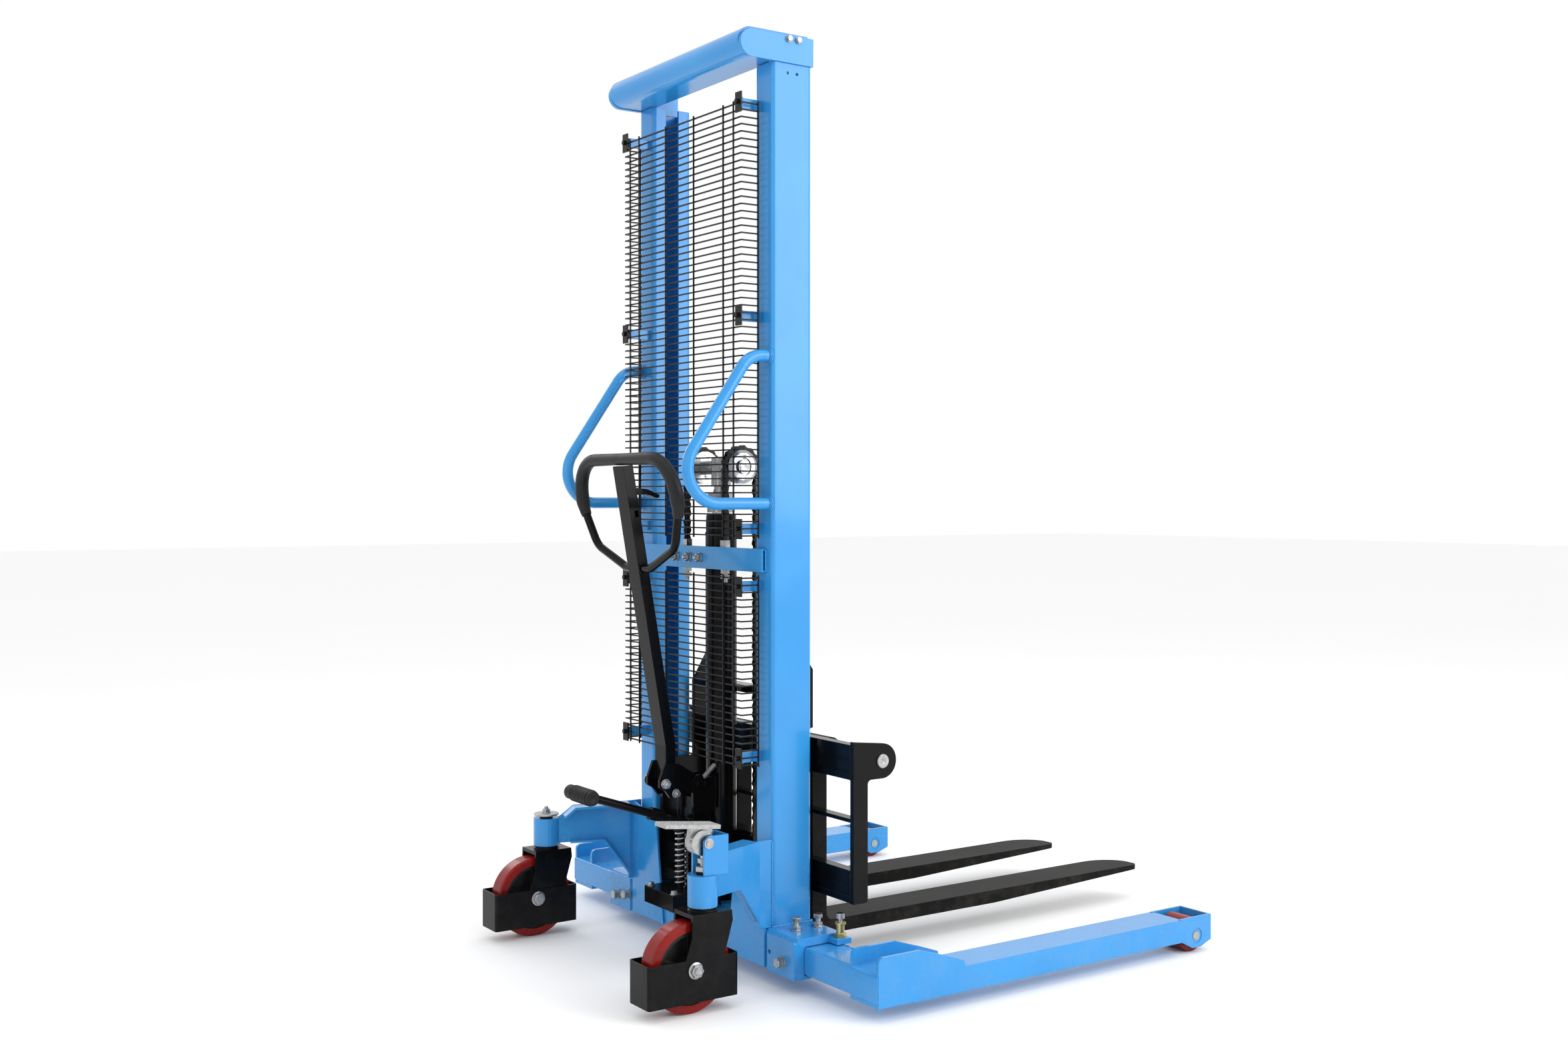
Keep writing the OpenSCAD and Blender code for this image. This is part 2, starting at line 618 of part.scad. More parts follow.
module leg(side) color(blue) right_or_left(side) difference() {
    union() {
        // cross tube that slides in the base beam
        slab_x(170, leg_out - 1) polygon(rrect([257, 38], [345, leg_tube_top], 5, 4));
        // leg tube
        box([leg_in, leg_out], [344, 1104], [29, leg_top]);
        // raised cheeks over the corner
        for (x = [leg_in, leg_out - 8]) slab_x(x, x + 8) polygon(concat(
            [[260, 30]], arc(272, 116, 12, 180, 90, 4), [[364, 128], [430, 107], [475, 91], [478, leg_top - 1], [500, leg_top - 1], [500, 30]]));
        box([leg_in + 5, leg_out], [260.3, 350], [30, 38.2]);
        // wheel box
        for (x = [leg_in, leg_out - 6]) slab_x(x, x + 6) polygon(
            [[1098, 30], [1098, leg_top + 1], [1197, leg_top + 1], [1197, 24], [1164, 12], [1138, 12], [1104, 29]]);
        box([leg_in, leg_out], [1192, 1197], [24, leg_top + 1]);
    }
    // hollows
    box([164, leg_out - 14], [263, 339], [44, 89]);
    box([leg_in + 6, leg_out - 6], [372, 1110], [35, leg_top - 6]);
    rod_x(leg_in - 1, leg_out + 1, axle_y, load_wheel_d / 2, 10.2, 40);
    for (x = [leg_in - 1, leg_out - 1.5]) rod_x(x, x + 2.5, axle_y, load_wheel_d / 2, 17, 40);
    for (i = [-2 : 5]) rod_z(86, 96, 404 + i * 22, 336, 5, 24);
}

module load_axle(side) color(zinc) right_or_left(side) rod_x(leg_in + 0.5, leg_out - 0.5, axle_y, load_wheel_d / 2, 10, 40);

module load_wheel(side) color(red) right_or_left(side) difference() {
    union() {
        rod_x(leg_in + 16, leg_out - 16, axle_y, load_wheel_d / 2, load_wheel_d / 2, 72);
        rod_x(leg_in + 8, leg_out - 8, axle_y, load_wheel_d / 2, 16, 48);
    }
    rod_x(leg_in, leg_out, axle_y, load_wheel_d / 2, 10.06, 40);
}

// ---------- casters ----------

wr = rear_wheel_d / 2;
module caster_yoke(side) color(black) right_or_left(side) difference() {
    union() {
        rod_z(195, 272, caster_x, king_y, 15, 48);
        rod_z(195.9, 202, caster_x, king_y, 27, 48);
        box([caster_x - 36, caster_x + 36], [-4, 86], [188, 196]);
        for (x = [caster_x - 36, caster_x + 30]) slab_x(x, x + 6) polygon([[-4, 196], [86, 196], [88, 176],
            [74, 128], [62, 100], [34, 72], [-20, 72], [-24, 98], [-6, 150]]);
        // foot guard box welded round the fork
        translate([0, 0, 27]) linear_extrude(84) difference() {
            polygon(rrect([caster_x - 39, rear_end], [caster_x + 39, 100], 7, 4));
            polygon(rrect([caster_x - 35.9, rear_end + 3], [caster_x + 35.9, 97], 4, 4));
        }
    }
    rod_x(caster_x - 40, caster_x + 40, 0, wr, 8.3, 40);
    rod_z(180, 280, caster_x, king_y, 5.07, 32);
}

module caster_axle(side) color(zinc) right_or_left(side) {
    rod_x(caster_x - 50, caster_x + 52, 0, wr, 8, 40);
    hex_x(caster_x + 43, caster_x + 51, 0, wr, 24);
    rod_x(caster_x + 41.1, caster_x + 43.1, 0, wr, 15, 32);
    hex_x(caster_x - 49, caster_x - 41.1, 0, wr, 24);
    // top cap over the swivel bearing, or the nut of the hollow swivel pin
    if (side < 0) difference() {
        union() {
            rod_z(272.1, 276, caster_x, king_y, 29, 48);
            hex_z(275.9, 285, caster_x, king_y, 19);
        }
    } else difference() {
        hex_z(272.1, 283, caster_x, king_y, 27);
        rod_z(271, 284, caster_x, king_y, 5.3, 32);
    }
}

module caster_hub(side) color(black) right_or_left(side) difference() {
    union() {
        difference() {
            rod_x(caster_x - 20, caster_x + 20, 0, wr, wr - 18, 72);
            for (s = [[-21, -4], [4, 21]]) rod_x(caster_x + s[0], caster_x + s[1], 0, wr, wr - 26, 72);
        }
        rod_x(caster_x - 26, caster_x + 26, 0, wr, 22, 48);
        for (i = [0 : 4]) translate([caster_x - 14, 0, wr]) rotate([i * 72, 0, 0]) translate([0, -4, 10]) cube([28, 8, wr - 34]);
    }
    rod_x(caster_x - 27, caster_x + 27, 0, wr, 8.06, 48);
}

module caster_tread(side) color(red) right_or_left(side)
    translate([caster_x, 0, wr]) rotate([0, 90, 0]) rotate_extrude($fn = 96)
        polygon(concat([[wr - 18, -23]], arc(wr - 6, -17, 6, -90, 0, 4), arc(wr - 6, 17, 6, 0, 90, 4), [[wr - 18, 23]]));

module brake_pedal() color(zinc) {
    // pivot pin, fixed in the cam
    rod_x(320, 374.5, brake_pin[0], brake_pin[1], 7, 32);
    // round cam, set off its pin so that pressing the pedal pushes the rod down
    rod_x(333, 361, brake_pin[0] - 7, brake_pin[1], 25, 64);
    translate([caster_x, 6, 362]) rotate([-6.4, 0, 0]) {
        translate([-21, -63, 0]) cube([42, 126, 8]);
        translate([-8, 4, -20]) cube([14, 50, 21]);
    }
}

// push rod in the hollow swivel pin; its foot stops above the tread
module brake_rod() color(zinc) {
    rod_z(176, 304.7, caster_x, king_y, 5, 32);
    hex_z(288, 297, caster_x, king_y, 17);
}

module index_pin(side) color(zinc) right_or_left(side) {
    rod_z(leg_tube_top + 0.4, 148, 404, 336, 4, 32);
    rod_z(147, 158, 404, 336, 9, 32);
}

place() column(-1);  // column_left
place() column(1);  // column_right
place() crosshead();
place() frame_screws();
place() mid_crossbar();
place() base_beam();
place() arm(-1);  // arm_left
place() arm(1);  // arm_right
place() handles();
place() guard_panels();
place() guard_clamps();
place() pump_plate();
place() pump_body();
place() cylinder_tube();
place() cylinder_clamp();
place() chain_anchors();
place() chains();
place() socket_bolts();
place() plunger_sleeves();
place() brake_bracket();
place() valve_spring();
place() lift_rod();
place() rod_head();
place() chain_wheel(-1);  // chain_wheel_left
place() chain_wheel(1);  // chain_wheel_right
place() carriage_frame();
place() carriage_posts();
place() fork_shaft();
place() roller(-1, roller_z[1]);  // roller_upper_left
place() roller(1, roller_z[1]);  // roller_upper_right
place() roller(-1, roller_z[0]);  // roller_lower_left
place() roller(1, roller_z[0]);  // roller_lower_right
place() fork(-fork_x);  // fork_left
place() fork(fork_x);  // fork_right
place() leg(-1);  // leg_left
place() leg(1);  // leg_right
place() load_axle(-1);  // load_axle_left
place() load_axle(1);  // load_axle_right
place() load_wheel(-1);  // load_wheel_left
place() load_wheel(1);  // load_wheel_right
place() caster_yoke(-1);  // caster_yoke_left
place() caster_yoke(1);  // caster_yoke_right
place() caster_axle(-1);  // caster_axle_left
place() caster_axle(1);  // caster_axle_right
place() caster_hub(-1);  // caster_hub_left
place() caster_hub(1);  // caster_hub_right
place() caster_tread(-1);  // caster_tread_left
place() caster_tread(1);  // caster_tread_right
place() tiller_arm();
place() tiller_loop();
place() tiller_grip();
place() release_lever();
place() foot_lever();
place() foot_pad();
place() pump_piston();
place() pump_spring();
place() brake_pedal();
place() brake_rod();
place() index_pin(-1);  // index_pin_left
place() index_pin(1);  // index_pin_right
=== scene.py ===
import bpy
import json
import math
from mathutils import Euler, Matrix, Vector


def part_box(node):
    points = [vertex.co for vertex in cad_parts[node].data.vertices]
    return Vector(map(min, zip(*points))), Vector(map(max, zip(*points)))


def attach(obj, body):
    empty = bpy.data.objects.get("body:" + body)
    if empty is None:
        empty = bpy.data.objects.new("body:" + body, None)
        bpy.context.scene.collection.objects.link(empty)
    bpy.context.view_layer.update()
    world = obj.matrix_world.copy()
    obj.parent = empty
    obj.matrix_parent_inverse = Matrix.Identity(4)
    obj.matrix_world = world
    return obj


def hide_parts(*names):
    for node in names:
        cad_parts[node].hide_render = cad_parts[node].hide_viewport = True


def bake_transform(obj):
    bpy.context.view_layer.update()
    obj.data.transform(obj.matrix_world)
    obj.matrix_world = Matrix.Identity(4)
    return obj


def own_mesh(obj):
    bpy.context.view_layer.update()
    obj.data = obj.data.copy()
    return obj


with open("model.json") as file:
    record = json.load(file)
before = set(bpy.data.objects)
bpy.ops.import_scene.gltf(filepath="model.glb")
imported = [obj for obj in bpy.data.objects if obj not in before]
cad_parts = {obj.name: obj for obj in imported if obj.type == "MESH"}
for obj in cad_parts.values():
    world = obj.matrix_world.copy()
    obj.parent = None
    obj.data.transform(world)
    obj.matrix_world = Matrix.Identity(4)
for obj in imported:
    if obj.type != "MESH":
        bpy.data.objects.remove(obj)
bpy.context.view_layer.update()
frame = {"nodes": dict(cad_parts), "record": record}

NODES = frame["nodes"]


# ---------------------------------------------------------------- node helpers

class Sock:
    """A node socket that can be used in ordinary arithmetic."""

    def __init__(self, mat, link):
        self.mat = mat
        self.link = link

    def maths(self, operation, other=None, swap=False):
        ends = [self, other] if not swap else [other, self]
        values = {i: v for i, v in enumerate(ends) if v is not None}
        return self.mat.node("ShaderNodeMath", {"operation": operation}, values)

    def __add__(self, other):
        return self.maths("ADD", other)

    def __radd__(self, other):
        return self.maths("ADD", other, True)

    def __sub__(self, other):
        return self.maths("SUBTRACT", other)

    def __rsub__(self, other):
        return self.maths("SUBTRACT", other, True)

    def __mul__(self, other):
        return self.maths("MULTIPLY", other)

    def __rmul__(self, other):
        return self.maths("MULTIPLY", other, True)

    def clamp(self):
        return self.maths("MAXIMUM", 0.0).maths("MINIMUM", 1.0)

    def ramp(self, low, high):
        """0 below low, 1 above high, smooth between."""
        settings = {"interpolation_type": "SMOOTHSTEP"}
        inputs = {0: self, 1: low, 2: high}
        return self.mat.node("ShaderNodeMapRange", settings, inputs)


class Finish:
    """One procedural material on object coordinates."""

    def __init__(self, name):
        self.material = bpy.data.materials.new(name)
        self.material.use_nodes = True
        self.tree = self.material.node_tree
        self.shader = self.tree.nodes["Principled BSDF"]
        coordinates = self.tree.nodes.new("ShaderNodeTexCoord")
        self.place = Sock(self, coordinates.outputs["Object"])

    def feed(self, socket, value):
        """Links a Sock to a socket, or sets the socket's value."""
        if isinstance(value, Sock):
            self.tree.links.new(value.link, socket)
        elif socket.type == "RGBA":
            socket.default_value = (*value, 1.0)
        else:
            socket.default_value = value

    def node(self, kind, settings, inputs, output=0):
        made = self.tree.nodes.new(kind)
        for key, value in settings.items():
            setattr(made, key, value)
        for key, value in inputs.items():
            self.feed(made.inputs[key], value)
        return Sock(self, made.outputs[output])

    def noise(self, scale, detail=3.0, roughness=0.5, place=None):
        inputs = {"Vector": place or self.place, "Scale": scale, "Detail": detail, "Roughness": roughness}
        return self.node("ShaderNodeTexNoise", {}, inputs, "Fac")

    def stretched(self, scales):
        return self.node("ShaderNodeMapping", {}, {"Vector": self.place, "Scale": scales})

    def axis(self, name):
        return self.node("ShaderNodeSeparateXYZ", {}, {0: self.place}, name)

    def blend(self, factor, low, high):
        """Mixes two colours."""
        inputs = {0: factor, 6: low, 7: high}
        return self.node("ShaderNodeMix", {"data_type": "RGBA"}, inputs, 2)

    def soft_edge(self, radius):
        """Normal that rounds the sharp edges of a folded or cut plate a little."""
        return self.node("ShaderNodeBevel", {"samples": 4}, {"Radius": radius})

    def bump(self, height, strength, distance, under=None):
        inputs = {"Height": height, "Strength": strength, "Distance": distance}
        if under is not None:
            inputs["Normal"] = under
        return self.node("ShaderNodeBump", {}, inputs)

    def set(self, **sockets):
        for key, value in sockets.items():
            self.feed(self.shader.inputs[key.replace("_", " ")], value)
        return self.material


# ------------------------------------------------------------------- finishes

SETTLED_DUST = (0.30, 0.27, 0.23)
HAIR_SCRATCH = (0.7, 0.72, 0.75)
SHOP_GRIME = (0.12, 0.105, 0.09)
TYRE_SCUFF = (0.30, 0.07, 0.05)
BARE_IRON = (0.025, 0.023, 0.022)
RUBBED_RUBBER = (0.022, 0.022, 0.023)


def powder_coat(name, colour, deep, gloss, dust, shine):
    """Sprayed and baked enamel: fine orange peel, faint cloudiness, a little
    settled dust near the floor and a few hair scratches."""
    f = Finish(name)
    cloud = f.noise(5.0, 4.0)
    peel = f.noise(260.0, 2.0, 0.6)
    wave = f.noise(38.0, 2.0, 0.5)
    hair = f.noise(9.0, 8.0, 0.75, f.stretched((1.0, 14.0, 30.0))).ramp(0.68, 0.74)
    low = (1.0 - f.axis("Z").ramp(0.02, 0.45)) * f.noise(23.0, 6.0, 0.7).ramp(0.42, 0.72)
    base = f.blend(cloud.ramp(0.35, 0.7), deep, colour)
    base = f.blend(low * dust, base, SETTLED_DUST)
    base = f.blend(hair * 0.10, base, HAIR_SCRATCH)
    rough = gloss + cloud * 0.06 + low * (dust * 0.9) + hair * 0.12
    normal = f.bump(wave, 0.10, 0.0006, f.soft_edge(0.0016))
    normal = f.bump(peel, 0.16, 0.00025, normal)
    return f.set(Base_Color=base, Roughness=rough.clamp(), Coat_Weight=shine, Coat_Roughness=0.06,
                 Coat_IOR=1.35, Specular_IOR_Level=shine, Normal=normal)


def zinc_plate(name, colour, dark, rough_low):
    """Bright plated steel: soft spangle, fine grain and thin grime."""
    f = Finish(name)
    cells = f.node("ShaderNodeTexVoronoi", {"feature": "F1"}, {"Vector": f.place, "Scale": 160.0}, "Color")
    spangle = f.node("ShaderNodeSeparateColor", {}, {0: cells}, 0)
    grime = f.noise(55.0, 6.0, 0.7).ramp(0.5, 0.75)
    grain = f.noise(3.0, 3.0, 0.6, f.stretched((420.0, 420.0, 420.0)))
    base = f.blend(spangle * 0.35, colour, dark)
    base = f.blend(grime * 0.5, base, SHOP_GRIME)
    rough = rough_low + spangle * 0.10 + grime * 0.25
    return f.set(Base_Color=base, Metallic=(1.0 - grime * 0.5), Roughness=rough.clamp(),
                 Normal=f.bump(grain, 0.12, 0.0002, f.soft_edge(0.0008)))


def cast_wheel_black(name):
    """Sand-cast iron under thin black paint."""
    f = Finish(name)
    grain = f.noise(340.0, 4.0, 0.7)
    lumps = f.noise(70.0, 3.0)
    worn = f.noise(30.0, 8.0, 0.7).ramp(0.6, 0.74)
    base = f.blend(worn * 0.6, (0.006, 0.006, 0.0065), BARE_IRON)
    normal = f.bump(grain, 0.35, 0.0006, f.bump(lumps, 0.3, 0.001, f.soft_edge(0.002)))
    return f.set(Base_Color=base, Roughness=(0.38 + worn * 0.25 + grain * 0.1), Normal=normal,
                 Specular_IOR_Level=0.3)


def wheel_urethane(name, colour, deep):
    """Cast urethane tyre: satin, slightly cloudy and scuffed."""
    f = Finish(name)
    cloud = f.noise(14.0, 4.0)
    scuff = f.noise(120.0, 8.0, 0.75, f.stretched((0.25, 1.0, 1.0))).ramp(0.52, 0.72)
    base = f.blend(cloud.ramp(0.3, 0.7), deep, colour)
    base = f.blend(scuff * 0.16, base, TYRE_SCUFF)
    normal = f.bump(scuff, 0.15, 0.0003, f.bump(f.noise(30.0, 2.0), 0.12, 0.0008))
    return f.set(Base_Color=base, Roughness=(0.22 + scuff * 0.3 + cloud * 0.08), Normal=normal,
                 Specular_IOR_Level=0.18, Coat_Weight=0.25, Coat_Roughness=0.10, Coat_IOR=1.3)


def moulded_rubber(name, colour):
    """Black moulded grip: fine leathery grain with paler rubbed patches."""
    f = Finish(name)
    pebble = {"Vector": f.place, "Scale": 520.0}
    grain = f.node("ShaderNodeTexVoronoi", {"feature": "SMOOTH_F1"}, pebble, "Distance")
    rub = f.noise(18.0, 6.0, 0.7).ramp(0.45, 0.7)
    base = f.blend(rub * 0.5, colour, RUBBED_RUBBER)
    return f.set(Base_Color=base, Roughness=(0.42 + rub * 0.16 + grain * 0.1), Specular_IOR_Level=0.25,
                 Normal=f.bump(grain, 0.3, 0.0004))


def oiled_chain(name):
    """Dark chain steel with a film of oil and bright rubbed spots."""
    f = Finish(name)
    film = f.noise(90.0, 6.0, 0.7)
    bright = film.ramp(0.58, 0.72)
    base = f.blend(bright, (0.018, 0.017, 0.016), (0.16, 0.15, 0.14))
    return f.set(Base_Color=base, Metallic=0.75, Roughness=(0.26 + film * 0.3),
                 Normal=f.bump(film, 0.25, 0.0003))


def ground_chrome(name):
    """Polished rod with faint drawn streaks and an oil bloom."""
    f = Finish(name)
    streak = f.noise(2.0, 5.0, 0.7, f.stretched((120.0, 120.0, 2.0)))
    bloom = f.noise(16.0, 4.0).ramp(0.5, 0.8)
    base = f.blend(bloom * 0.35, (0.72, 0.73, 0.75), (0.48, 0.45, 0.40))
    return f.set(Base_Color=base, Metallic=1.0, Roughness=(0.09 + streak * 0.12 + bloom * 0.08),
                 Normal=f.bump(streak, 0.06, 0.0001))


FINISHES = {
    "blue_enamel": powder_coat("sky_blue_powder_coat", (0.030, 0.275, 0.64), (0.024, 0.250, 0.60),
                               gloss=0.22, dust=0.10, shine=0.35),
    "black_enamel": powder_coat("black_gloss_enamel", (0.0045, 0.0045, 0.005), (0.003, 0.003, 0.0035),
                                gloss=0.16, dust=0.02, shine=0.10),
    "black_wire": powder_coat("black_dipped_wire", (0.006, 0.006, 0.007), (0.004, 0.004, 0.005),
                              gloss=0.30, dust=0.02, shine=0.14),
    "black_iron": cast_wheel_black("black_painted_casting"),
    "chain_steel": oiled_chain("oiled_chain_steel"),
    "zinc_steel": zinc_plate("bright_zinc_plate", (0.42, 0.425, 0.42), (0.24, 0.245, 0.245), 0.24),
    "chromed_rod": ground_chrome("ground_chrome_rod"),
    "yellow_zinc": zinc_plate("yellow_zinc_plate", (0.64, 0.50, 0.20), (0.46, 0.36, 0.18), 0.22),
    "red_tyre": wheel_urethane("red_cast_urethane", (0.235, 0.006, 0.004), (0.16, 0.004, 0.003)),
    "grip_rubber": moulded_rubber("black_moulded_rubber", (0.009, 0.009, 0.0095)),
}

FORK_BLACK = powder_coat("rubbed_fork_black", (0.0045, 0.0044, 0.0042), (0.008, 0.0076, 0.007),
                         gloss=0.44, dust=0.05, shine=0.05)

SLOT_OF = {row["node"]: row["material_slot"] for row in frame["record"]["subparts"]}
for node_name, node_object in NODES.items():
    node_object.data.materials.clear()
    is_fork = node_name in ("fork_left", "fork_right")
    node_object.data.materials.append(FORK_BLACK if is_fork else FINISHES[SLOT_OF[node_name]])


# ------------------------------------------------------------ modelling tools

def middle(node):
    """Middle of a CAD node's box."""
    low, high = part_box(node)
    return Vector([(a + b) / 2 for a, b in zip(low, high)])


SIDES = ((-1, "l", "left"), (1, "r", "right"))
REAR = middle("caster_tread_right").y      # y of the rear wheels' axle
CASTER_X = 0.347                           # x of the rear wheels' middle
KING_Y = REAR + 0.040                      # y of the casters' swivel axes
COLUMN_REAR = REAR + 0.252                 # y of the mast columns' rear face
MAST_Y = middle("roller_upper_right").y    # y of the lift cylinder and rollers
SHEAVE = middle("chain_wheel_right")
SHEAVE_X = abs(SHEAVE.x)


def nothing_selected():
    bpy.ops.object.select_all(action="DESELECT")


def take(piece):
    nothing_selected()
    piece.select_set(True)
    bpy.context.view_layer.objects.active = piece


def edit(piece):
    take(piece)
    bpy.ops.object.mode_set(mode="EDIT")
    bpy.ops.mesh.select_all(action="SELECT")


def done_editing():
    bpy.ops.object.mode_set(mode="OBJECT")


def settled(piece, turn=(0.0, 0.0, 0.0), at=(0.0, 0.0, 0.0)):
    """Turns and moves a piece, then applies its place to its mesh."""
    take(piece)
    piece.rotation_euler = turn
    piece.location = Vector(piece.location) + Vector(at)
    bpy.ops.object.transform_apply(location=True, rotation=True, scale=True)
    return piece


# Euler turns that take a shape from standing along z to pointing along an axis
TURNS = {
    "X": (0.0, math.pi / 2, 0.0), "-X": (0.0, -math.pi / 2, 0.0),
    "Y": (-math.pi / 2, 0.0, 0.0), "-Y": (math.pi / 2, 0.0, 0.0),
    "Z": (0.0, 0.0, 0.0), "-Z": (math.pi, 0.0, 0.0),
}


def turned(profile, sides=32, axis="Z", at=(0.0, 0.0, 0.0)):
    """A closed turned shape, drawn out ring by ring along (radius, height) pairs."""
    nothing_selected()
    radius, height = profile[0]
    bpy.ops.mesh.primitive_circle_add(vertices=sides, radius=radius, fill_type="NGON",
                                      location=(0.0, 0.0, height))
    piece = bpy.context.active_object
    edit(piece)
    for next_radius, next_height in profile[1:]:
        bpy.ops.mesh.extrude_region_move(
            TRANSFORM_OT_translate={"value": (0.0, 0.0, next_height - height)})
        k = next_radius / radius
        bpy.ops.transform.resize(value=(k, k, 1.0), center_override=(0.0, 0.0, next_height))
        radius, height = next_radius, next_height
    bpy.ops.mesh.select_all(action="SELECT")
    bpy.ops.mesh.normals_make_consistent(inside=False)
    done_editing()
    settled(piece)
    return settled(piece, TURNS[axis], at)


def outward(side):
    return "X" if side > 0 else "-X"


def pin_along_x(radius, half, sides, at, ease=0.0004):
    """Short pin or roller across the machine with chamfered ends."""
    waist = radius - 0.0004
    profile = [(waist, -half), (radius, ease - half), (radius, half - ease), (waist, half)]
    return turned(profile, sides, "X", at)


def joined(pieces):
    take(pieces[0])
    for piece in pieces:
        piece.select_set(True)
    bpy.ops.object.join()
    return bpy.context.active_object


def copied(piece, matrix):
    twin = piece.copy()
    twin.data = piece.data.copy()
    bpy.context.scene.collection.objects.link(twin)
    twin.data.transform(matrix)
    return twin


def fitted(piece, name, body, finish, nodes=(), angle=35.0, rides=True):
    """Names, smooths and finishes a piece, and hangs it on its body in place of the nodes."""
    take(piece)
    bpy.ops.object.shade_smooth_by_angle(angle=math.radians(angle))
    piece.name = name
    piece.data.materials.clear()
    piece.data.materials.append(FINISHES[finish])
    if rides:
        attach(piece, body)
    if nodes:
        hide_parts(*nodes)
    return piece


# ------------------------------------------------------------------ fasteners

WASHER_THICK = 0.002
SEAT_GAP = 0.0001                          # lift of a washer off the face below it

# sizes across flats, of the head, the washer's radius, and the stud's radius and length
BOLTS = {
    "jack": {"across": 0.018, "head": 0.008, "washer": 0.0125, "stud": (0.006, 0.010)},
    "clamp": {"across": 0.019, "head": 0.006, "washer": 0.0118, "stud": (0.006, 0.002)},
    "cross_bar": {"across": 0.017, "head": 0.0085, "washer": 0.0115, "stud": (0.005, 0.006)},
    "cover": {"across": 0.012, "head": 0.005, "washer": 0.0078},
    "pump_foot": {"across": 0.013, "head": 0.006, "washer": 0.009},
    "axle_nut": {"across": 0.024, "head": 0.009, "washer": 0.0165, "stud": (0.008, 0.004)},
    "axle_head": {"across": 0.024, "head": 0.008, "washer": 0.0165},
    "swivel_cap": {"across": 0.017, "head": 0.008, "washer": 0.011, "stud": (0.005, 0.005)},
    "tiller_upper": {"across": 0.018, "head": 0.006, "washer": 0.0112, "stud": (0.005, 0.004)},
    "tiller_lower": {"across": 0.015, "head": 0.006, "washer": 0.0098, "stud": (0.004, 0.003)},
}


def hex_head(across, height):
    r = across / math.sqrt(3)
    rim = height * 0.16
    return [(r, 0.0), (r, height - rim), (r * 0.88, height)]


def thread(radius, length, pitch=0.0016):
    """Ringed profile of a threaded end."""
    profile = [(radius * 0.9, 0.0)]
    turns = max(2, int(length / pitch))
    for i in range(turns):
        z = (i + 0.5) * length / turns
        profile.append((radius, z))
        profile.append((radius * 0.86, z + 0.45 * length / turns))
    profile.append((radius * 0.75, length + 0.0008))
    return profile


def fastener(at, axis, across, head, washer, stud=None):
    """Hex head on a washer. As a nut it has a stud, the threaded end that stands out of it."""
    direction = Euler(TURNS[axis]).to_matrix() @ Vector((0.0, 0.0, 1.0))
    at = Vector(at)
    ring = [(washer, 0.0), (washer, 0.8 * WASHER_THICK), (washer * 0.96, WASHER_THICK)]
    seat = at + direction * WASHER_THICK
    top = seat + direction * head
    parts = [turned(ring, 32, axis, at), turned(hex_head(across, head), 6, axis, seat)]
    if stud:
        parts.append(turned(thread(*stud), 20, axis, top - direction * 0.0005))
    else:
        boss = [(across * 0.36, 0.0), (across * 0.33, 0.0006)]
        parts.append(turned(boss, 24, axis, top - direction * 0.0001))
    return joined(parts)


def fasten_socket_beam():
    """Jack bolts on the base beam's top and clamping bolts in its rear face, with lock nuts."""
    jack_x, jack_offsets = 0.328, (0.279, 0.334)
    clamp_spots = ((-0.348, 0.061), (-0.299, 0.071), (0.348, 0.061))
    jack_across, clamp_across = BOLTS["jack"]["across"], BOLTS["clamp"]["across"]
    lock_nut = 0.0075
    beam_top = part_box("base_beam")[1][2] + SEAT_GAP
    beam_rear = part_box("base_beam")[0][1] - SEAT_GAP
    parts = []
    for side, _, _ in SIDES:
        for offset in jack_offsets:
            x, y = side * jack_x, REAR + offset
            parts.append(fastener((x, y, beam_top), "Z", **BOLTS["jack"]))
            parts.append(turned(hex_head(jack_across, lock_nut), 6, "Z", (x, y, beam_top + 0.0194)))
            parts.append(turned([(0.0058, 0.0), (0.0058, 0.012)], 20, "Z", (x, y, beam_top + 0.0081)))
    for x, z in clamp_spots:
        parts.append(fastener((x, beam_rear, z), "-Y", **BOLTS["clamp"]))
        parts.append(turned(hex_head(clamp_across, lock_nut), 6, "-Y", (x, beam_rear - 0.0092, z)))
    return fitted(joined(parts), "socket_fasteners", "chassis", "zinc_steel", ["socket_bolts"])


def fasten_frame():
    """Nuts of the middle cross bar, screws of the crosshead cover and bolts of the pump's foot."""
    bar_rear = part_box("mid_crossbar")[0][1] - 0.0003
    bar_z = middle("cylinder_clamp").z
    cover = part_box("crosshead")[1]
    screw_x, screw_z = cover[0] + SEAT_GAP, cover[2] - 0.014
    foot_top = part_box("pump_body")[0][2]
    parts = []
    for x in (-0.090, -0.036, 0.010):
        parts.append(fastener((x, bar_rear, bar_z), "-Y", **BOLTS["cross_bar"]))
    for side, _, _ in SIDES:
        for offset in (0.290, 0.314):
            spot = (side * screw_x, REAR + offset, screw_z)
            parts.append(fastener(spot, outward(side), **BOLTS["cover"]))
    for x in (-0.050, 0.050):
        parts.append(fastener((x, REAR + 0.150, foot_top), "Z", **BOLTS["pump_foot"]))
    return fitted(joined(parts), "frame_fasteners", "chassis", "zinc_steel", ["frame_screws"])


